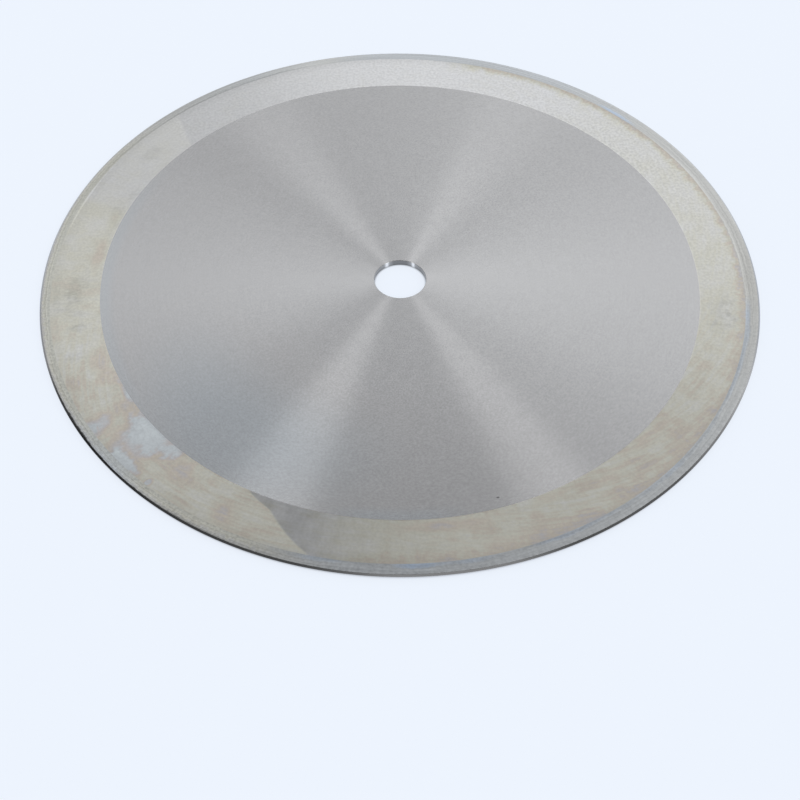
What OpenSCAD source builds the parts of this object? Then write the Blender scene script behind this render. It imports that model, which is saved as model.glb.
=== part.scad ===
// Circular slitter knife: one flat steel disc, turned and ground all over.
// The disc lies on its lower face, with the bore axis on Z and the lower face at Z = 0.
// Both sides carry the same grind: a flat face, a long rim taper, an edge bevel and a narrow
// cutting facet. The two grinds meet in a fine land at the middle of the thickness.

/* [Disc] */
// Outside diameter, measured over the cutting edge
outside_d = 350; // [250:1:450]
// Thickness between the two flat faces
body_t = 3; // [2.4:0.1:6]

/* [Bore] */
// Diameter of the plain bore that slides on the arbor
bore_d = 25.4; // [16:0.1:80]
// Width and depth of the broken edge at each mouth of the bore
bore_break = 0.15; // [0.1:0.05:0.6]

/* [Rim taper] */
// Width of the long taper outside the flat face, along the radius
taper_w = 23; // [10:0.1:40]
// Thickness left at the outer end of the taper
shoulder_t = 2.1; // [1.8:0.05:2.3]

/* [Cutting edge] */
// Width of the edge bevel outside the taper, along the radius
bevel_w = 5.2; // [2:0.1:10]
// Thickness left at the outer end of the edge bevel
facet_t = 1.6; // [0.8:0.05:1.7]
// Width of the narrow cutting facet, along the radius
facet_w = 0.8; // [0.4:0.1:2]
// Thickness of the land left on the cutting edge
land_t = 0.1; // [0.05:0.01:0.3]

/* [Hidden] */
round_fn = 180;
edge_r = outside_d / 2;
facet_r = edge_r - facet_w;
shoulder_r = facet_r - bevel_w;
face_r = shoulder_r - taper_w;
bore_r = bore_d / 2;

// One side of the section, from the bore to the edge, as [radius, height above the middle plane]
function grind_line() = [
    [bore_r, body_t / 2 - bore_break],
    [bore_r + bore_break, body_t / 2],
    [face_r, body_t / 2],
    [shoulder_r, shoulder_t / 2],
    [facet_r, facet_t / 2],
    [edge_r, land_t / 2],
];

// The same line on the other side of the middle plane, run back from the edge to the bore
function far_side(line) = [for (i = [len(line) - 1:-1:0]) [line[i].x, -line[i].y]];

// Cross-section from the bore wall to the cutting edge, standing on the lower face
module blade_section() {
    upper = grind_line();
    translate([0, body_t / 2])
        polygon(concat(upper, far_side(upper)));
}

// The knife, turned from its section about the bore axis
module knife_blade() {
    color("silver")
        rotate_extrude($fn = round_fn)
            blade_section();
}

knife_blade();
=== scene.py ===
"""Looks of a circular slitter knife: the ground and heat-tinted steel blade, and a plain studio round it."""

import math
from collections import namedtuple

import bpy
from bpy.props import FloatProperty, FloatVectorProperty, IntProperty, PointerProperty
from mathutils import Matrix, Vector


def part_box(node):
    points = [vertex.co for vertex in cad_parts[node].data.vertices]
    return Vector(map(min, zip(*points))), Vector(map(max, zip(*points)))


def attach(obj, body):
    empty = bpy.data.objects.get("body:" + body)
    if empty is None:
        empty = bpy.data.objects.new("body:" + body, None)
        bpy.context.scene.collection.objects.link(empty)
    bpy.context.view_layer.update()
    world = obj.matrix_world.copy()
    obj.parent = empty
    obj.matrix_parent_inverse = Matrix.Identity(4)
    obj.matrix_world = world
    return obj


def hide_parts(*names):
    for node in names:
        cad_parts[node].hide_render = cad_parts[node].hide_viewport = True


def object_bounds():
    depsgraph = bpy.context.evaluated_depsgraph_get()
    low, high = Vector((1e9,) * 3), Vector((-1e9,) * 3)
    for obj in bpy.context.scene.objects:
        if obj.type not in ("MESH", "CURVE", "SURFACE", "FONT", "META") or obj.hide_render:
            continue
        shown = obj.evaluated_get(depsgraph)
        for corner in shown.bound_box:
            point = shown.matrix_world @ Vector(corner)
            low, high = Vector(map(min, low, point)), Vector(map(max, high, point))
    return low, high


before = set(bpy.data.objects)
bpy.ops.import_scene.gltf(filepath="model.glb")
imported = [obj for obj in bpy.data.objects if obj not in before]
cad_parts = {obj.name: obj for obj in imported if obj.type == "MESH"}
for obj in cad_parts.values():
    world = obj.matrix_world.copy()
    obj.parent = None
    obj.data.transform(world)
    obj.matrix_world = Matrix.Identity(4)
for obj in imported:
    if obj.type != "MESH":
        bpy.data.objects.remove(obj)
CAD_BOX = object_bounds()

bl_info = {
    "name": "Slitter Knife",
    "version": (1, 0, 0),
    "blender": (4, 5, 0),
    "location": "View3D > Sidebar > Slitter Knife",
    "description": "Builds a ground circular slitter knife and the studio that shows it",
    "category": "Object",
}

BLADE_NODE = "knife_blade"
MM = 0.001

# Ground zones of the blade, in the order of its material slots
FACE, TAPER, BEVEL, FACET, BORE = range(5)

# Corners of the blade's upper side, from the bore out to the cutting edge
Corner = namedtuple("Corner", "radius height")
Section = namedtuple("Section", "bore mouth face shoulder facet edge")

# Points nearer than this merge, and a point this near to a ring's radius is on the ring
MERGE_DISTANCE = 1e-7
RING_TOLERANCE = 0.01 * MM

# The CAD section: decimals that tell its radii apart, and the least bend that makes a corner
RADIUS_DECIMALS = 5
LEAST_BEND = 1e-9

# Edges that bend more than this get the rounding
SHARP_ANGLE = math.radians(20)

# Sockets of a Mix node that mixes two colours
MIX_FACTOR, MIX_FIRST, MIX_SECOND = 0, 6, 7
MIX_RESULT = 2

# Turn of the anisotropy that lays the scratches round the blade
ROUND_THE_BLADE = 0.25

# Half the width of the sharp ends of the heat tint, in turns
BREAK_WIDTH = 0.0012

# Gap under the blade, and a shift of the floor that keeps the seam of its two triangles off the blade
FLOOR_GAP = 0.02 * MM
FLOOR_SHIFT = 8.0

# Within this distance of the blade, the floor's glow gives way to the blade's shadow
SHADOW_REACH = 1.0 * MM

# Width of the camera's sensor, in millimetres
SENSOR_WIDTH = 36.0


def colour_setting(name, description, default):
    """A colour property, in scene-linear values."""
    return FloatVectorProperty(name=name, description=description, subtype="COLOR", size=3, min=0, max=1,
                               default=default)


def length_setting(name, description, default):
    """A length property, in metres."""
    return FloatProperty(name=name, description=description, unit="LENGTH", precision=5, default=default)


def share_setting(name, description, default):
    """A property between 0 and 1."""
    return FloatProperty(name=name, description=description, subtype="FACTOR", min=0, max=1, default=default)


def angle_setting(name, description, degrees):
    """An angle property, with its default in degrees."""
    return FloatProperty(name=name, description=description, unit="ROTATION", default=math.radians(degrees))


def direction_setting(name, description, default):
    """A direction property, of any length."""
    return FloatVectorProperty(name=name, description=description, subtype="XYZ", size=3, default=default)


class BladeSettings(bpy.types.PropertyGroup):
    """Sizes of the blade that its CAD section doesn't give"""

    segments: IntProperty(
        name="Segments",
        description="Straight steps in one turn of the blade",
        default=720,
        min=64,
    )
    edge_round: length_setting(
        "Edge Round", "Width of the rounding on the sharp edges of the bore and the facets", 0.03 * MM)
    bevel_runout: length_setting(
        "Bevel Run-out", "How far the inner edge of the edge bevel runs off centre, towards -X", 1.0 * MM)
    crease_width: length_setting(
        "Crease Width", "Width of the small step between the flat face and the rim taper", 0.35 * MM)
    crease_drop: length_setting(
        "Crease Drop", "Depth of the small step between the flat face and the rim taper", 0.035 * MM)


class FinishSettings(bpy.types.PropertyGroup):
    """Colours, gloss and scratches of the ground steel"""

    bare_face: colour_setting("Bare Face", "Colour of the ground faces", (0.618, 0.614, 0.616))
    face_haze: colour_setting("Face Haze", "Cool haze on the face at the front left", (0.592, 0.621, 0.647))
    bare_rim: colour_setting("Bare Rim", "Colour of the rim taper without heat tint", (0.690, 0.690, 0.692))
    straw: colour_setting("Straw", "Thin heat tint that covers most of the rim taper", (0.662, 0.650, 0.572))
    bronze: colour_setting("Bronze", "Heat tint that is thicker than straw", (0.640, 0.585, 0.510))
    mauve: colour_setting("Mauve", "Heat tint between bronze and blue", (0.605, 0.580, 0.575))
    blue: colour_setting("Blue", "Thick heat tint", (0.635, 0.672, 0.695))
    pale_blue: colour_setting("Pale Blue", "Thickest heat tint", (0.700, 0.745, 0.765))
    bare_bevel: colour_setting("Bare Bevel", "Colour of the edge bevel", (0.655, 0.650, 0.620))
    blue_line: colour_setting("Blue Line", "Heat tint at the edge bevel's inner edge", (0.580, 0.675, 0.810))
    face_roughness: share_setting("Face Roughness", "Roughness of the grind on the flat faces", 0.26)
    rim_roughness: share_setting("Rim Roughness", "Least roughness of the rim taper", 0.3)
    bevel_roughness: share_setting("Bevel Roughness", "Roughness of the edge bevel", 0.4)
    facet_roughness: share_setting("Facet Roughness", "Roughness of the cutting facets", 0.22)
    bore_roughness: share_setting("Bore Roughness", "Roughness of the bore's wall", 0.32)
    face_relief: length_setting("Face Relief", "Depth of the scratches on the flat faces", 1e-6)
    rim_relief: length_setting("Rim Relief", "Depth of the scratches on the rim taper", 1.5e-6)
    bevel_relief: length_setting("Bevel Relief", "Depth of the scratches on the edge bevel", 5e-6)
    facet_relief: length_setting("Facet Relief", "Depth of the scratches on the cutting facets", 2e-6)
    bore_relief: length_setting("Bore Relief", "Depth of the turning marks in the bore", 4e-6)


class StageSettings(bpy.types.PropertyGroup):
    """Floor, light and camera"""

    floor_colour: colour_setting("Floor", "Colour of the pale floor", (0.860, 0.915, 1.0))
    floor_size: length_setting("Floor Size", "Side of the square floor", 40.0)
    floor_glow: share_setting("Floor Glow", "Even glow of the floor that the camera and the steel see", 0.85)
    floor_dimming: share_setting("Floor Dimming", "Share of the floor's shading that its glow replaces", 0.8)
    studio_colour: colour_setting("Studio", "Colour of the studio's soft light", (0.965, 0.98, 1.0))
    wall_level: FloatProperty(
        name="Wall Level",
        description="Brightness of the studio's walls",
        default=1.28,
    )
    left_level: FloatProperty(
        name="Left Level",
        description="Highest brightness of the studio's left side",
        default=0.79,
    )
    right_level: FloatProperty(
        name="Right Level",
        description="Highest brightness of the studio's right side, over all that its walls have",
        default=3.0,
    )
    lamp_power: FloatProperty(
        name="Lamp Power",
        description="Power of each of the two overhead lamps",
        unit="POWER",
        default=1.0,
    )
    lamp_distance: length_setting("Lamp Distance", "From the lamps to the blade", 1.6)
    lamp_size: length_setting("Lamp Size", "Side of each square lamp", 0.28)
    lamp_left: direction_setting("Left Lamp", "From the blade to the left lamp", (-0.28, 0.10, 0.95))
    lamp_right: direction_setting("Right Lamp", "From the blade to the right lamp", (0.34, 0.12, 0.93))
    camera_distance: length_setting("Camera Distance", "From the camera to the upper face's middle", 0.86445)
    camera_side: length_setting("Camera Side", "How far the camera stands to the right", 0.37 * MM)
    camera_elevation: angle_setting("Camera Elevation", "Angle of the camera over the upper face", 45.868)
    camera_pitch: angle_setting("Camera Pitch", "How far the camera looks down", 49.797)
    camera_roll: angle_setting("Camera Roll", "Turn of the camera round its own axis", 0.423)
    camera_lens: FloatProperty(
        name="Camera Lens",
        description="Focal length, in millimetres on a sensor 36 mm wide",
        default=79.286,
    )


# Shader helpers

class Signal:
    """A number that changes over the surface: a node output, with arithmetic that adds Math nodes"""

    def __init__(self, tree, socket):
        self.tree = tree
        self.socket = socket

    def calc(self, operation, other=0.0):
        """This number and another through a Math node."""
        node = self.tree.nodes.new("ShaderNodeMath")
        node.operation = operation
        feed(self.tree, node.inputs[0], self)
        feed(self.tree, node.inputs[1], other)
        return Signal(self.tree, node.outputs[0])

    def __add__(self, other):
        return self.calc("ADD", other)

    def __sub__(self, other):
        return self.calc("SUBTRACT", other)

    def __mul__(self, other):
        return self.calc("MULTIPLY", other)

    def __truediv__(self, other):
        return self.calc("DIVIDE", other)

    def spread(self, low, high, to_low=0.0, to_high=1.0):
        """This number moved from one range to another with soft ends, and held outside it."""
        node = self.tree.nodes.new("ShaderNodeMapRange")
        node.interpolation_type = "SMOOTHSTEP"
        for socket, value in zip(node.inputs, (self, low, high, to_low, to_high)):
            feed(self.tree, socket, value)
        return Signal(self.tree, node.outputs["Result"])

    def swing(self, reach=1.0):
        """A noise, which is mostly between 0.3 and 0.7, drawn out to swing from -reach to reach."""
        return self.spread(0.3, 0.7, -reach, reach)

    def less(self, share):
        """What is left of 1 where this mask takes a share away."""
        return self * share * -1.0 + 1.0


def feed(tree, socket, value):
    """Links a socket to a signal or another socket, or sets it to a plain value."""
    if isinstance(value, Signal):
        value = value.socket
    if isinstance(value, bpy.types.NodeSocket):
        tree.links.new(value, socket)
    elif socket.type == "RGBA":
        socket.default_value = (*value, 1.0)
    else:
        socket.default_value = value


def object_place(tree):
    """Object coordinates, in metres from the bore's foot."""
    return tree.nodes.new("ShaderNodeTexCoord").outputs["Object"]


def noise(tree, vector, scale, detail=2.0):
    """A noise texture, from 0 to 1 and mostly near a half."""
    node = tree.nodes.new("ShaderNodeTexNoise")
    node.inputs["Scale"].default_value = scale
    node.inputs["Detail"].default_value = detail
    feed(tree, node.inputs["Vector"], vector)
    return Signal(tree, node.outputs["Fac"])


def colour_ramp(signal, stops):
    """The colour at a signal's place between (place, colour) stops."""
    node = signal.tree.nodes.new("ShaderNodeValToRGB")
    elements = node.color_ramp.elements
    for place, _ in stops[2:]:
        elements.new(place)
    for element, (place, colour) in zip(elements, stops):
        element.position = place
        element.color = (*colour, 1.0)
    feed(signal.tree, node.inputs["Fac"], signal)
    return node.outputs["Color"]


def level_ramp(signal, stops):
    """The number at a signal's place between (place, number) stops."""
    return Signal(signal.tree, colour_ramp(signal, [(place, (level,) * 3) for place, level in stops]))


def turns_at(degrees):
    """An angle from +X, anticlockwise from above, as the Disc Polar group's turns from -X."""
    return (degrees / 360 + 0.5) % 1


def level_round(turns, stops):
    """The number at an angle round the blade, between (degrees, number) stops; 180 joins the ends."""
    places = sorted((turns_at(degrees), level) for degrees, level in stops)
    return level_ramp(turns, places + [(1.0, places[0][1])])


def mix_colour(tree, factor, first, second, blend="MIX"):
    """Two colours through a Mix node."""
    node = tree.nodes.new("ShaderNodeMix")
    node.data_type = "RGBA"
    node.blend_type = blend
    feed(tree, node.inputs[MIX_FACTOR], factor)
    feed(tree, node.inputs[MIX_FIRST], first)
    feed(tree, node.inputs[MIX_SECOND], second)
    return node.outputs[MIX_RESULT]


def new_group(name, inputs, outputs):
    """A shader node group with float inputs (name, default) and outputs (name, socket type)."""
    tree = bpy.data.node_groups.new(name, "ShaderNodeTree")
    for socket_name, default in inputs:
        socket = tree.interface.new_socket(socket_name, in_out="INPUT", socket_type="NodeSocketFloat")
        socket.default_value = default
    for socket_name, kind in outputs:
        tree.interface.new_socket(socket_name, in_out="OUTPUT", socket_type="NodeSocket" + kind)
    given = tree.nodes.new("NodeGroupInput").outputs
    out = tree.nodes.new("NodeGroupOutput").inputs
    return tree, {socket.name: Signal(tree, socket) for socket in given if socket.name}, out


def place_group(tree, name, **values):
    """The outputs of a group in a material; its inputs are set by name, with underscores for spaces."""
    node = tree.nodes.new("ShaderNodeGroup")
    node.node_tree = bpy.data.node_groups[name]
    for socket_name, value in values.items():
        feed(tree, node.inputs[socket_name.replace("_", " ")], value)
    return {socket.name: Signal(tree, socket) for socket in node.outputs}


# Shared surface effects

def make_disc_polar():
    """Radius, turns from -X and direction round an axis along Z."""
    tree, given, out = new_group(
        "Disc Polar", [("Centre X", 0.0)], [("Radius", "Float"), ("Turns", "Float"), ("Direction", "Vector")])
    split = tree.nodes.new("ShaderNodeSeparateXYZ")
    feed(tree, split.inputs[0], object_place(tree))
    across = Signal(tree, split.outputs["X"]) - given["Centre X"]
    along = Signal(tree, split.outputs["Y"])
    radius = (across * across + along * along).calc("SQRT")
    direction = tree.nodes.new("ShaderNodeCombineXYZ")
    feed(tree, direction.inputs["X"], across / radius)
    feed(tree, direction.inputs["Y"], along / radius)
    feed(tree, out["Radius"], radius)
    feed(tree, out["Turns"], along.calc("ARCTAN2", across) / (2 * math.pi) + 0.5)
    feed(tree, out["Direction"], direction.outputs[0])


def make_grind_lines():
    """Fine scratches round the axis, as a height.

    Arc Detail shortens the scratches, and Slant is how far they wind outwards in one turn.
    """
    tree, given, out = new_group(
        "Grind Lines",
        [("Lines per Metre", 1500.0), ("Arc Detail", 2.0), ("Slant", 0.0)],
        [("Height", "Float")])
    disc = place_group(tree, "Disc Polar")
    split = tree.nodes.new("ShaderNodeSeparateXYZ")
    feed(tree, split.inputs[0], disc["Direction"])
    joined = tree.nodes.new("ShaderNodeCombineXYZ")
    wound = disc["Radius"] - disc["Turns"] * given["Slant"]
    feed(tree, joined.inputs["X"], wound * given["Lines per Metre"])
    feed(tree, joined.inputs["Y"], Signal(tree, split.outputs["X"]) * given["Arc Detail"])
    feed(tree, joined.inputs["Z"], Signal(tree, split.outputs["Y"]) * given["Arc Detail"])
    feed(tree, out["Height"], noise(tree, joined.outputs[0], 1.0, detail=3.0))


def make_ragged_spot():
    """Mask of one soft spot, longer or shorter round the blade than across it; Fray makes its edge ragged."""
    tree, given, out = new_group(
        "Ragged Spot",
        [("Turns", 0.5), ("Radius", 0.15), ("Length", 0.01), ("Width", 0.005), ("Fray", 0.0)],
        [("Mask", "Float")])
    disc = place_group(tree, "Disc Polar")
    along = (disc["Turns"] - given["Turns"]) * disc["Radius"] * (2 * math.pi) / given["Length"]
    across = (disc["Radius"] - given["Radius"]) / given["Width"]
    reach = (along * along + across * across).calc("SQRT")
    feed(tree, out["Mask"], (reach + given["Fray"]).spread(1.4, 0.25))


def make_oxide_film(finish):
    """Colour of the steel under a heat tint, from bare at 0 through straw and bronze to pale blue at 1."""
    tree, given, out = new_group("Oxide Film", [("Film", 0.0)], [("Colour", "Color")])
    stops = [
        (0.0, finish.bare_rim), (0.30, finish.straw), (0.45, finish.bronze), (0.58, finish.mauve),
        (0.72, finish.blue), (1.0, finish.pale_blue)]
    feed(tree, out["Colour"], colour_ramp(given["Film"], stops))


def grind_lines(tree, per_metre, arc_detail, slant=0.0):
    """Height of the Grind Lines group in a material."""
    lines = place_group(tree, "Grind Lines", Lines_per_Metre=per_metre, Arc_Detail=arc_detail, Slant=slant)
    return lines["Height"]


def ragged_spot(tree, degrees, radius, length, width, fray=0.0):
    """Mask of the Ragged Spot group in a material, at an angle and with its sizes in millimetres."""
    spot = place_group(tree, "Ragged Spot", Turns=turns_at(degrees), Radius=radius * MM, Length=length * MM,
                       Width=width * MM, Fray=fray)
    return spot["Mask"]


# Finishes

def new_material(name):
    """A material with nodes, its node tree and the inputs of its shader."""
    material = bpy.data.materials.new(name)
    material.use_nodes = True
    tree = material.node_tree
    return material, tree, tree.nodes["Principled BSDF"].inputs


def steel_material(name, anisotropic):
    """A metal material whose scratches run round the blade."""
    material, tree, shader = new_material(name)
    shader["Metallic"].default_value = 1.0
    shader["Anisotropic"].default_value = anisotropic
    shader["Anisotropic Rotation"].default_value = ROUND_THE_BLADE
    return material, tree, shader


def add_relief(tree, shader, height, depth):
    """Bump from a height between 0 and 1, over a depth in metres."""
    node = tree.nodes.new("ShaderNodeBump")
    node.inputs["Distance"].default_value = depth
    feed(tree, node.inputs["Height"], height)
    feed(tree, shader["Normal"], node.outputs["Normal"])


def face_material(finish, section):
    """Flat ground face: fine circular scratches that draw the light out into fans."""
    material, tree, shader = steel_material("ground_face", anisotropic=1.0)
    disc = place_group(tree, "Disc Polar")
    turns = disc["Turns"]
    radius = disc["Radius"]
    rim = section.face.radius
    fine = grind_lines(tree, 1500.0, 4.0)

    # Painted light and shade: lighter and darker sectors round the face, a middle painted lighter than its
    # rim, and a front painted darker outwards
    painted_light_shade = level_round(turns, [
        (180, 0.99), (200, 0.945), (225, 0.93), (254, 1.0), (300, 1.0), (315, 1.07), (332, 1.09),
        (20, 1.01), (60, 1.04), (70, 1.1), (111, 0.975), (122, 1.0), (134, 0.975), (150, 1.02)])
    front = level_round(turns, [
        (180, 0.0), (205, 0.05), (235, 0.05), (250, 0.1), (270, 0.06), (286, 0.07), (294, 0.14),
        (301, 0.06), (312, 0.0)])
    painted_light_shade = painted_light_shade * radius.spread(0.0, rim, 1.05, 0.985) * radius.spread(60 * MM, rim).less(front)

    # Sandy grain, and one dark speck near the rim
    sandy = level_round(turns, [
        (180, 0.02), (225, 0.05), (270, 0.062), (315, 0.05), (0, 0.02), (45, 0.055), (135, 0.047),
        (158, 0.03)])
    dashes = grind_lines(tree, 1300.0, 90.0)
    cloudy = noise(tree, object_place(tree), 220.0, detail=3.0)
    grit = (dashes.swing(1.3) + cloudy.swing(0.3)) * sandy
    grit = grit * radius.spread(20 * MM, 130 * MM, 1.4, 0.75) + fine.spread(0.2, 0.8, 0.988, 1.012)
    speck = ragged_spot(tree, 288.2, 140.4, 0.7, 0.5)
    shade = grit * painted_light_shade * speck.less(0.75)

    # Cool haze at the front left and along the rim
    haze = ragged_spot(tree, 233.0, 124.0, 62.0, 36.0)
    rim_haze = radius.spread(138 * MM, 144 * MM) * level_round(turns, [
        (180, 0.6), (205, 0.6), (240, 0.3), (256, 0.0), (264, 0.7), (276, 0.6), (283, 0.0), (145, 0.0),
        (160, 0.5)])
    colour = mix_colour(tree, haze.calc("MAXIMUM", rim_haze), finish.bare_face, finish.face_haze)
    feed(tree, shader["Base Color"], mix_colour(tree, 1.0, colour, shade, "MULTIPLY"))
    feed(tree, shader["Roughness"], fine.spread(0.2, 0.8, -0.01, 0.01) + finish.face_roughness)
    add_relief(tree, shader, fine, finish.face_relief)
    return material


# Marks of the grind in the rim taper's tint: each swings about 0, lively is how strong they are round the
# blade, and fray is for the edges of spots
TaperMarks = namedtuple("TaperMarks", "streaks flecks sweeps broad lively fray")

# Thicker film on the rim taper, as (degrees, radius, length, width, film) with sizes in millimetres: the blue
# patch at the front left with its neighbours, and warm patches along both edges
FILM_SPOTS = (
    (222.0, 147.0, 20.0, 11.0, 0.32),
    (221.0, 156.5, 14.0, 10.0, 0.36),
    (214.5, 166.5, 6.0, 8.0, 0.36),
    (223.3, 168.5, 8.0, 4.5, 0.47),
    (228.6, 168.0, 1.6, 2.5, 0.45),
    (210.5, 146.3, 9.0, 2.2, 0.32),
    (219.5, 167.0, 4.0, 4.5, 0.16),
    (226.8, 149.0, 5.0, 5.0, 0.22),
    (200.5, 150.5, 9.0, 6.0, 0.22),
    (206.0, 150.0, 5.0, 7.0, 0.22),
    (204.5, 165.5, 7.0, 4.0, 0.07),
    (213.0, 156.0, 5.0, 9.0, 0.12),
    (176.0, 150.0, 20.0, 2.8, 0.13),
    (231.0, 155.0, 5.0, 9.0, 0.15),
    (241.5, 163.0, 6.0, 6.0, 0.16),
    (277.0, 150.5, 20.0, 3.0, 0.17),
    (297.0, 149.0, 10.0, 2.5, 0.15),
    (308.0, 153.0, 10.0, 3.0, 0.11),
    (320.0, 150.0, 13.0, 3.0, 0.16),
    (288.0, 164.5, 12.0, 4.0, 0.06),
    (315.0, 164.0, 110.0, 4.5, 0.08),
    (165.0, 149.5, 7.0, 3.5, 0.14),
)

# Stains on the rim taper, as (degrees, radius, length, width, darkness) with sizes in millimetres; the last
# is a bright place
STAINS = (
    (184.5, 158.5, 15.0, 7.5, 0.30),
    (192.0, 157.0, 3.5, 4.0, 0.26),
    (199.0, 157.0, 2.5, 8.0, 0.16),
    (204.5, 165.5, 8.0, 4.5, 0.14),
    (352.0, 157.5, 10.0, 7.5, 0.25),
    (145.0, 158.5, 8.0, 5.0, 0.26),
    (162.0, 149.0, 22.0, 4.5, 0.14),
    (187.0, 149.5, 9.0, 4.0, -0.12),
)


def taper_marks(tree, turns):
    """Marks of the grind that show in the tint of the rim taper."""
    place = object_place(tree)
    streaks = grind_lines(tree, 90.0, 26.0).swing()
    flecks = grind_lines(tree, 220.0, 90.0).swing()
    slanted = grind_lines(tree, 560.0, 9.0, slant=0.28).swing() * level_round(turns, [
        (180, 0.0), (188, 0.0), (197, 1.3), (214, 1.3), (226, 0.2), (262, 0.3), (280, 0.8), (305, 1.4),
        (335, 1.2), (355, 0.7), (20, 0.5)])
    along = grind_lines(tree, 560.0, 9.0, slant=-0.05).swing() * level_round(turns, [
        (180, 0.0), (214, 0.0), (226, 1.3), (250, 1.2), (264, 0.5), (280, 0.0)])
    sweeps = slanted + along
    broad = noise(tree, place, 70.0, detail=3.0).swing()
    lively = level_round(turns, [
        (180, 0.9), (215, 1.1), (260, 0.6), (310, 1.1), (60, 0.25), (140, 0.3)])
    torn = noise(tree, place, 90.0) - 0.5
    fray = torn * 1.1 + streaks * 0.16 + flecks * 0.12 + sweeps * 0.15
    return TaperMarks(streaks, flecks, sweeps, broad, lively, fray)


def taper_breaks(turns, out):
    """Masks of the dark wedge in front and the cool stretch behind, where the tint ends sharply."""
    lean = out * (out * 0.0083 + 0.0208) - out.spread(0.3, 0.0) * 0.0085
    front_line = turns - lean - turns_at(246.3)
    wedge = front_line.spread(-BREAK_WIDTH, BREAK_WIDTH) * level_round(turns, [
        (180, 0.0), (240, 1.0), (254, 1.0), (262, 0.45), (271, 0.12), (280, 0.0)])
    back_line = turns + out * 0.0117 - turns_at(138.8)
    cool = back_line.spread(-BREAK_WIDTH, BREAK_WIDTH, 1.0, 0.0) * turns.spread(turns_at(100), turns_at(125))
    return wedge, cool


def taper_film(tree, turns, out, marks, wedge, cool):
    """Thickness of the tint's film: mottled straw that thins out towards the back, and thicker patches."""
    straw = level_round(turns, [
        (180, 1.0), (200, 1.0), (240, 1.2), (285, 1.1), (310, 1.2), (330, 1.1), (40, 0.4), (60, 0.1),
        (90, 0.0), (120, 0.0), (140, 0.3), (160, 0.3), (162, 0.8)])
    mottle = marks.broad * 0.07 + marks.streaks * 0.06 + marks.flecks * 0.025
    film = straw * wedge.less(0.9) * cool.less(0.9) * 0.28
    film = film + marks.lively * mottle + marks.sweeps * 0.075
    for degrees, radius, length, width, thick in FILM_SPOTS:
        film = film + ragged_spot(tree, degrees, radius, length, width, marks.fray) * thick
    warm = level_round(turns, [
        (180, 0.0), (258, 0.0), (266, 0.8), (285, 0.75), (345, 0.8), (358, 1.6), (30, 1.6), (45, 2.0),
        (75, 2.0), (82, 0.0)])
    uneven = out + marks.streaks * 0.05 + marks.flecks * 0.04
    return film + uneven.spread(0.72, 0.98) * warm * 0.2


def taper_shade(tree, turns, out, marks, wedge, cool, fine):
    """Light and dark on the rim taper: painted light and shade round the blade, stains, grain, painted shade
    along the outer edge and one white line on it.
    """
    place = object_place(tree)
    # Painted light and shade: the taper made lighter or darker round the blade
    painted_light_shade = level_round(turns, [
        (180, 1.12), (192, 1.18), (228, 1.15), (245, 1.07), (254, 1.07), (266, 1.13), (280, 1.18),
        (290, 1.13), (300, 1.07), (312, 1.08), (330, 1.03), (346, 1.07), (40, 1.01), (86, 1.06),
        (106, 1.01), (122, 1.0), (156, 1.0), (168, 1.1)])
    shade = painted_light_shade * wedge.less(marks.streaks * 0.04 + 0.33) * cool.less(0.09)
    smudge = noise(tree, place, 260.0, detail=4.0).spread(0.35, 0.7, 0.25, 1.0) * (marks.flecks * 0.3 + 0.7)
    stain_fray = marks.fray * 2.0
    for degrees, radius, length, width, dark in STAINS:
        shade = shade - ragged_spot(tree, degrees, radius, length, width, stain_fray) * dark * smudge
    grain = noise(tree, place, 750.0).spread(0.25, 0.75, -1.0, 1.0)
    coarse = level_round(turns, [
        (180, 0.07), (225, 0.055), (300, 0.035), (0, 0.07), (40, 0.12), (110, 0.08), (136, 0.08),
        (140, 0.05)])
    mottle = marks.lively * (marks.flecks + marks.streaks + marks.broad) * 0.01 + marks.sweeps * 0.014
    shade = shade * (grain * coarse + fine.spread(0.2, 0.8, 0.98, 1.02) - mottle)
    # Painted shade: the outer edge of the taper darkened, most on the back right
    outer_painted_shade = level_round(turns, [
        (180, 0.06), (345, 0.08), (30, 0.12), (42, 0.18), (76, 0.18), (84, 0.08)])
    white_line = ragged_spot(tree, 162.0, 169.5, 26.0, 0.6, marks.fray * 0.8)
    return shade * out.spread(0.75, 1.0).less(outer_painted_shade) + white_line * 0.2


def taper_material(finish, section):
    """Rim taper: satin grind under a heat tint that breaks off sharply at two places."""
    material, tree, shader = steel_material("tempered_taper", anisotropic=0.4)
    disc = place_group(tree, "Disc Polar")
    turns = disc["Turns"]
    start = section.face.radius
    out = (disc["Radius"] - start) / (section.shoulder.radius - start)
    marks = taper_marks(tree, turns)
    wedge, cool = taper_breaks(turns, out)
    film = taper_film(tree, turns, out, marks, wedge, cool)
    colour = place_group(tree, "Oxide Film", Film=film)["Colour"]
    fine = grind_lines(tree, 900.0, 6.0)
    shade = taper_shade(tree, turns, out, marks, wedge, cool, fine)
    feed(tree, shader["Base Color"], mix_colour(tree, 1.0, colour, shade, "MULTIPLY"))

    # The roughness varies only upwards: where some of it is under about 0.28, the render shows dark dots
    feed(tree, shader["Roughness"], fine.spread(0.2, 0.8, 0.0, 0.02) + finish.rim_roughness)
    add_relief(tree, shader, fine, finish.rim_relief)
    return material


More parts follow.
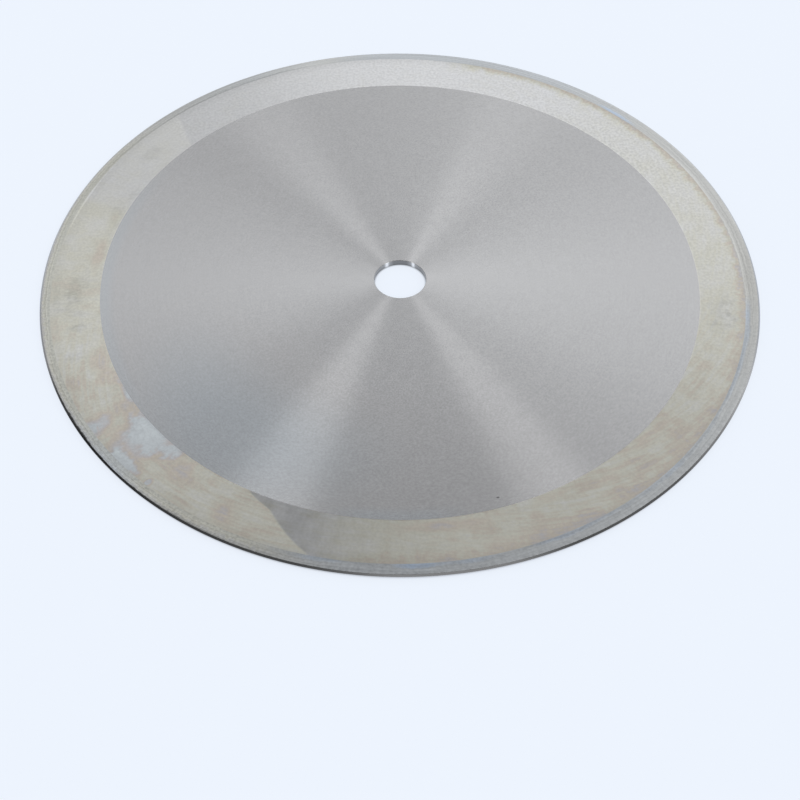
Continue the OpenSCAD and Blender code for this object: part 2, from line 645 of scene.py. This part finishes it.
def bevel_colour(tree, finish, turns, out, tinted):
    """Colour of the edge bevel: straw on the left, and blue that fades outwards in front and on the right."""
    patchy = noise(tree, object_place(tree), 50.0, detail=3.0).spread(0.35, 0.65)
    blued = level_round(turns, [
        (180, 0.1), (250, 0.1), (257, 0.6), (260, 0.6), (263, 0.25), (269, 0.25), (270.5, 1.2),
        (274, 1.2), (275.5, 0.8), (281, 0.7), (285, 0.3), (290, 0.3), (292, 1.0), (308, 0.5),
        (347, 0.5), (353, 0.6), (357, 0.0), (42, 0.1), (45, 1.0), (49, 1.0), (52, 0.2), (100, 0.0)])
    tint = out.spread(0.65, 0.2) * blued * (patchy * 0.4 + 0.6)
    cold = level_round(turns, [
        (180, 0.0), (206, 0.0), (223, 0.4), (228, 0.1), (234, 0.0), (252, 0.1), (262, 0.3), (325, 0.2),
        (0, 0.0), (40, 0.1), (60, 0.3), (96, 0.3), (104, 0.1), (118, 0.2), (150, 0.0)])
    colour = mix_colour(tree, tinted, finish.bare_bevel, finish.straw)
    return mix_colour(tree, tint.calc("MAXIMUM", cold), colour, finish.blue_line)


def bevel_shade(turns, out, flecks, tinted, grain, rings):
    """Light and dark on the edge bevel: painted light and shade, bands of the grind, lines at the inner edge,
    a painted dark reflection on its outer rim, and grain.
    """
    bands = level_ramp(out, [
        (0.0, 0.99), (0.29, 0.99), (0.33, 1.05), (0.40, 0.93), (0.48, 1.0), (0.58, 1.0), (0.62, 1.05),
        (0.70, 0.93), (0.78, 1.0), (0.90, 0.99), (1.0, 1.02)])
    lined = level_round(turns, [
        (180, 2.5), (250, 2.0), (262, 1.2), (345, 1.2), (5, 2.5), (75, 2.5), (100, 1.2)])
    bands = (bands - 1.0) * lined + 1.0
    dark_line = level_round(turns, [
        (180, 0.0), (250, 0.02), (260, 0.06), (285, 0.05), (290, 0.13), (345, 0.12), (352, 0.0),
        (15, 0.0), (30, 0.06), (105, 0.06), (112, 0.16), (150, 0.16), (157, 0.0)])
    light_line = level_round(turns, [
        (180, 0.0), (345, 0.0), (358, 0.2), (30, 0.2), (44, 0.06), (60, 0.0)])
    inner = out.spread(0.02, 0.07) * out.spread(0.28, 0.14) * (light_line - dark_line)
    coarse = level_round(turns, [
        (180, 0.1), (200, 0.14), (245, 0.13), (270, 0.07), (0, 0.07), (90, 0.05)])
    # Painted light and shade: the bevel made lighter or darker round the blade, darkest in front
    painted_light_shade = level_round(turns, [
        (180, 1.04), (192, 1.06), (204, 0.99), (228, 0.98), (252, 0.78), (264, 0.8), (276, 0.87),
        (290, 0.83), (302, 0.84), (314, 0.91), (336, 0.95), (348, 0.91), (0, 0.9), (8, 0.96),
        (24, 1.01), (60, 0.99), (84, 0.95), (100, 0.98), (107, 1.06), (118, 0.87), (132, 0.85),
        (144, 0.93)])
    # Painted dark reflection: the outer rim of the bevel darkened at the front left
    painted_dark_reflection = level_round(turns, [
        (180, 0.15), (200, 0.25), (206, 0.85), (216, 0.85), (234, 0.6), (252, 0.1), (264, 0.0),
        (150, 0.0), (165, 0.12)])
    painted_light_shade = painted_light_shade * (tinted * 0.03 + 0.99) * out.spread(0.76, 0.9).less(painted_dark_reflection)
    return painted_light_shade * bands * (grain * coarse + flecks * 0.03 + rings.swing(0.05) + inner + 1.0)


def bevel_material(finish, section, runout):
    """Edge bevel: a duller grind in faint bands, with a dark, light or blue line along its inner edge."""
    material, tree, shader = steel_material("honed_bevel", anisotropic=0.3)
    place = object_place(tree)
    turns = place_group(tree, "Disc Polar")["Turns"]
    radius = place_group(tree, "Disc Polar", Centre_X=-runout)["Radius"]
    start = section.shoulder.radius
    sway = noise(tree, place, 35.0).swing(0.08)
    flecks = grind_lines(tree, 220.0, 90.0).swing()
    out = (radius - start) / (section.facet.radius - start) + sway + flecks * 0.04
    tinted = (out + flecks * 0.1).spread(0.75, 0.45) * level_round(turns, [
        (180, 1.0), (248, 1.0), (255, 0.0), (138, 0.0), (150, 0.8)])
    grain = noise(tree, place, 800.0).spread(0.25, 0.75, -1.0, 1.0)
    rings = grind_lines(tree, 800.0, 5.0)
    colour = bevel_colour(tree, finish, turns, out, tinted)
    shade = bevel_shade(turns, out, flecks, tinted, grain, rings)
    feed(tree, shader["Base Color"], mix_colour(tree, 1.0, colour, shade, "MULTIPLY"))
    feed(tree, shader["Roughness"], (grain + flecks) * 0.02 + finish.bevel_roughness)
    add_relief(tree, shader, rings, finish.bevel_relief)
    return material


def facet_material(finish):
    """Cutting facet: fine grind, with a painted dark reflection along the front."""
    material, tree, shader = steel_material("cutting_facet", anisotropic=0.5)
    fine = grind_lines(tree, 5000.0, 20.0)
    # Painted reflection: the facet dark along the front and lighter at the sides and back
    painted_light_shade = level_round(place_group(tree, "Disc Polar")["Turns"], [
        (180, 0.6), (198, 0.45), (206, 0.1), (216, 0.03), (256, 0.13), (270, 0.35), (286, 0.32),
        (296, 0.11), (316, 0.17), (328, 0.45), (338, 0.9), (348, 0.7), (10, 0.75), (30, 0.95),
        (150, 0.95)])
    shade = fine.spread(0.2, 0.8, 0.93, 1.07) * painted_light_shade
    feed(tree, shader["Base Color"], mix_colour(tree, 1.0, finish.bare_face, shade, "MULTIPLY"))
    feed(tree, shader["Roughness"], fine.spread(0.2, 0.8, -0.03, 0.03) + finish.facet_roughness)
    add_relief(tree, shader, fine, finish.facet_relief)
    return material


def bore_material(finish):
    """Turned wall of the bore, with a painted reflection: dull, darkest across the far side, with two painted
    glints.
    """
    material, tree, shader = steel_material("turned_bore", anisotropic=0.5)
    marks_per_metre = (60.0, 60.0, 6000.0)
    stretch = tree.nodes.new("ShaderNodeMapping")
    stretch.inputs["Scale"].default_value = marks_per_metre
    feed(tree, stretch.inputs["Vector"], object_place(tree))
    turned = noise(tree, stretch.outputs[0], 1.0)
    # Painted reflection: dark across the far side of the wall, with two painted glints beside its middle
    painted_light_shade = level_round(place_group(tree, "Disc Polar")["Turns"], [
        (180, 0.6), (0, 0.6), (40, 0.5), (54, 0.65), (60, 1.9), (65, 0.7), (75, 0.4), (105, 0.4),
        (115, 0.7), (121, 1.9), (128, 0.65), (140, 0.55)])
    shade = turned.spread(0.25, 0.75, 0.88, 1.08) * painted_light_shade
    feed(tree, shader["Base Color"], mix_colour(tree, 1.0, finish.bare_face, shade, "MULTIPLY"))
    feed(tree, shader["Roughness"], turned.spread(0.25, 0.75, -0.04, 0.04) + finish.bore_roughness)
    add_relief(tree, shader, turned, finish.bore_relief)
    return material


# Blade

def upper_section(node):
    """Section of the CAD blade's upper side, with heights over the middle plane, and that plane's height."""
    low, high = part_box(node.name)
    middle = (low.z + high.z) / 2
    found = {}
    for vertex in node.data.vertices:
        if vertex.co.z > middle:
            found[round(math.hypot(vertex.co.x, vertex.co.y), RADIUS_DECIMALS)] = vertex.co.z - middle
    line = [Corner(*place) for place in sorted(found.items())]
    corners = [line[0]]
    for before, here, after in zip(line, line[1:], line[2:]):
        bend = (here.height - before.height) * (after.radius - here.radius)
        bend -= (after.height - here.height) * (here.radius - before.radius)
        if abs(bend) > LEAST_BEND:
            corners.append(here)
    corners.append(line[-1])
    if len(corners) != len(Section._fields):
        raise RuntimeError(f"the blade's section has {len(corners)} corners and not {len(Section._fields)}")
    return Section(*corners), middle


def select_rings(blade, *radii):
    """Selects the edges that run round the blade at these radii, and goes into edit mode."""
    bpy.ops.object.mode_set(mode="EDIT")
    bpy.ops.mesh.select_all(action="DESELECT")
    bpy.ops.object.mode_set(mode="OBJECT")
    place = [math.hypot(vertex.co.x, vertex.co.y) for vertex in blade.data.vertices]
    for edge in blade.data.edges:
        edge.select = any(all(abs(place[i] - r) < RING_TOLERANCE for i in edge.vertices) for r in radii)
    bpy.ops.object.mode_set(mode="EDIT")


def draw_rings(rings, segments):
    """A closed mesh through (radius, height) rings, drawn by extruding a circle and left in edit mode."""
    first_r, first_z = rings[0]
    bpy.ops.object.select_all(action="DESELECT")
    bpy.ops.mesh.primitive_circle_add(vertices=segments, radius=first_r, location=(0, 0, first_z))
    bpy.ops.object.transform_apply(location=True)
    bpy.ops.object.mode_set(mode="EDIT")
    bpy.ops.mesh.select_mode(type="EDGE")
    bpy.ops.mesh.select_all(action="SELECT")
    for (from_r, from_z), (to_r, to_z) in zip(rings, rings[1:]):
        grow = to_r / from_r
        bpy.ops.mesh.extrude_edges_move(TRANSFORM_OT_translate={"value": (0, 0, to_z - from_z)})
        bpy.ops.transform.resize(value=(grow, grow, 1), center_override=(0, 0, 0))
    bpy.ops.mesh.select_all(action="DESELECT")
    bpy.ops.mesh.select_non_manifold()
    bpy.ops.mesh.bridge_edge_loops()
    bpy.ops.mesh.select_all(action="SELECT")
    bpy.ops.mesh.remove_doubles(threshold=MERGE_DISTANCE)
    bpy.ops.mesh.normals_make_consistent(inside=False)
    return bpy.context.active_object


def turn_blade(settings, section, middle):
    """The blade, from the lower mouth of the bore round the cutting edge to the upper mouth."""
    face, shoulder = section.face, section.shoulder
    step = Corner(face.radius + settings.crease_width, face.height - settings.crease_drop)
    line = [section.bore, section.mouth, face, step, shoulder, section.facet, section.edge]
    rings = [(r, middle - z) for r, z in line] + [(r, middle + z) for r, z in reversed(line)]
    blade = draw_rings(rings, settings.segments)
    blade.name = "knife_blade_ground"
    select_rings(blade, face.radius, step.radius, shoulder.radius)
    bpy.ops.mesh.mark_sharp()
    select_rings(blade, shoulder.radius)
    bpy.ops.transform.translate(value=(-settings.bevel_runout, 0, 0))
    bpy.ops.mesh.select_all(action="DESELECT")
    bpy.ops.mesh.edges_select_sharp(sharpness=SHARP_ANGLE)
    bpy.ops.mesh.bevel(offset=settings.edge_round, segments=2, affect="EDGES")
    bpy.ops.object.mode_set(mode="OBJECT")
    bpy.ops.object.shade_smooth(keep_sharp_edges=True)
    blade.modifiers.new("normals", "WEIGHTED_NORMAL").keep_sharp = True
    bpy.ops.object.modifier_apply(modifier="normals")
    return blade


def zone_at(radius, settings, section):
    """The ground zone of a face of the blade, by the radius of its middle."""
    if radius < section.mouth.radius + settings.edge_round:
        return BORE
    if radius < section.face.radius:
        return FACE
    if radius < section.shoulder.radius - 2 * settings.bevel_runout:
        return TAPER
    return BEVEL if radius < section.facet.radius - settings.edge_round else FACET


class SLITTER_OT_blade(bpy.types.Operator):
    """Turns the blade from the section of its CAD node and gives each ground zone its finish"""

    bl_idname = "slitter.blade"
    bl_label = "Knife Blade"

    def execute(self, context):
        settings = context.scene.slitter_blade
        finish = context.scene.slitter_finish
        section, middle = upper_section(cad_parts[BLADE_NODE])
        blade = turn_blade(settings, section, middle)
        make_disc_polar()
        make_grind_lines()
        make_ragged_spot()
        make_oxide_film(finish)
        for material in (
            face_material(finish, section),
            taper_material(finish, section),
            bevel_material(finish, section, settings.bevel_runout),
            facet_material(finish),
            bore_material(finish),
        ):
            blade.data.materials.append(material)
        for polygon in blade.data.polygons:
            polygon.material_index = zone_at(polygon.center.xy.length, settings, section)
        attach(blade, "root")
        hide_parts(BLADE_NODE)
        return {"FINISHED"}


# Stage

def add_floor(settings, height):
    """Wide pale floor under the blade; its glow stays out of the gap under the rim, so the shadow is kept."""
    bpy.ops.mesh.primitive_plane_add(size=settings.floor_size, location=(0, FLOOR_SHIFT, height))
    floor = bpy.context.active_object
    floor.name = "floor"
    material, tree, shader = new_material("pale_floor")
    shader["Roughness"].default_value = 1.0
    shader["Specular IOR Level"].default_value = 0.0
    rays = tree.nodes.new("ShaderNodeLightPath").outputs
    seen = Signal(tree, rays["Is Camera Ray"]).calc("MAXIMUM", rays["Is Glossy Ray"])
    seen = seen.calc("MAXIMUM", rays["Is Transmission Ray"])
    open_sky = tree.nodes.new("ShaderNodeAmbientOcclusion")
    open_sky.inputs["Distance"].default_value = SHADOW_REACH
    dimmed = mix_colour(tree, 1.0, settings.floor_colour, seen.less(settings.floor_dimming), "MULTIPLY")
    feed(tree, shader["Base Color"], dimmed)
    feed(tree, shader["Emission Color"], settings.floor_colour)
    feed(tree, shader["Emission Strength"], Signal(tree, open_sky.outputs["AO"]) * seen * settings.floor_glow)
    floor.data.materials.append(material)


def add_world(settings):
    """Pale studio walls that dim towards the ceiling and to the left."""
    world = bpy.data.worlds.new("studio")
    world.use_nodes = True
    bpy.context.scene.world = world
    tree = world.node_tree
    direction = tree.nodes.new("ShaderNodeTexCoord").outputs["Generated"]
    split = tree.nodes.new("ShaderNodeSeparateXYZ")
    feed(tree, split.inputs[0], direction)
    level = level_ramp(Signal(tree, split.outputs["Z"]), [
        (0.0, 0.54), (0.35, 0.71), (0.55, 1.0), (0.63, 0.95), (0.69, 0.62), (0.75, 0.47), (0.81, 0.30),
        (0.88, 0.19), (1.0, 0.18)])
    limit = Signal(tree, split.outputs["X"]).spread(-0.16, -0.02, settings.left_level, settings.right_level)
    background = tree.nodes["Background"].inputs
    feed(tree, background["Color"], settings.studio_colour)
    feed(tree, background["Strength"], (level * settings.wall_level).calc("MINIMUM", limit))


def add_lamp(name, settings, direction):
    """Soft overhead lamp that looks at the blade."""
    data = bpy.data.lights.new(name, "AREA")
    data.energy = settings.lamp_power
    data.size = settings.lamp_size
    lamp = bpy.data.objects.new(name, data)
    bpy.context.scene.collection.objects.link(lamp)
    towards = Vector(direction).normalized()
    lamp.location = towards * settings.lamp_distance
    lamp.rotation_mode = "QUATERNION"
    lamp.rotation_quaternion = towards.to_track_quat("Z", "Y")


def add_camera(settings, top):
    """Camera that looks down on the blade from the front."""
    data = bpy.data.cameras.new("camera")
    data.sensor_width = SENSOR_WIDTH
    data.lens = settings.camera_lens
    camera = bpy.data.objects.new("camera", data)
    bpy.context.scene.collection.objects.link(camera)
    elevation = settings.camera_elevation
    place = Vector((0, -math.cos(elevation), math.sin(elevation))) * settings.camera_distance
    turn = Matrix.Rotation(math.pi / 2 - settings.camera_pitch, 4, "X")
    turn = turn @ Matrix.Rotation(settings.camera_roll, 4, "Z")
    camera.matrix_world = Matrix.Translation(place + Vector((settings.camera_side, 0, top))) @ turn
    bpy.context.scene.camera = camera


class SLITTER_OT_stage(bpy.types.Operator):
    """Adds the floor, the studio light and the camera"""

    bl_idname = "slitter.stage"
    bl_label = "Studio"

    def execute(self, context):
        settings = context.scene.slitter_stage
        low, high = CAD_BOX
        bpy.ops.object.select_all(action="DESELECT")
        add_floor(settings, low.z - FLOOR_GAP)
        add_world(settings)
        add_lamp("lamp_left", settings, settings.lamp_left)
        add_lamp("lamp_right", settings, settings.lamp_right)
        add_camera(settings, high.z)
        context.scene.view_settings.view_transform = "Standard"
        return {"FINISHED"}


class SLITTER_PT_panel(bpy.types.Panel):
    """Settings and steps of the slitter knife"""

    bl_idname = "SLITTER_PT_panel"
    bl_label = "Slitter Knife"
    bl_space_type = "VIEW_3D"
    bl_region_type = "UI"
    bl_category = "Slitter Knife"

    def draw(self, context):
        scene = context.scene
        for settings, operator in (
            (scene.slitter_blade, None),
            (scene.slitter_finish, SLITTER_OT_blade),
            (scene.slitter_stage, SLITTER_OT_stage),
        ):
            box = self.layout.box()
            for name in settings.__annotations__:
                box.prop(settings, name)
            if operator:
                box.operator(operator.bl_idname)


CLASSES = (BladeSettings, FinishSettings, StageSettings, SLITTER_OT_blade, SLITTER_OT_stage, SLITTER_PT_panel)


def register():
    for cls in CLASSES:
        bpy.utils.register_class(cls)
    bpy.types.Scene.slitter_blade = PointerProperty(type=BladeSettings)
    bpy.types.Scene.slitter_finish = PointerProperty(type=FinishSettings)
    bpy.types.Scene.slitter_stage = PointerProperty(type=StageSettings)


def unregister():
    del bpy.types.Scene.slitter_stage
    del bpy.types.Scene.slitter_finish
    del bpy.types.Scene.slitter_blade
    for cls in reversed(CLASSES):
        bpy.utils.unregister_class(cls)


def main():
    register()
    bpy.ops.slitter.blade()
    bpy.ops.slitter.stage()


if __name__ == "__main__":
    main()
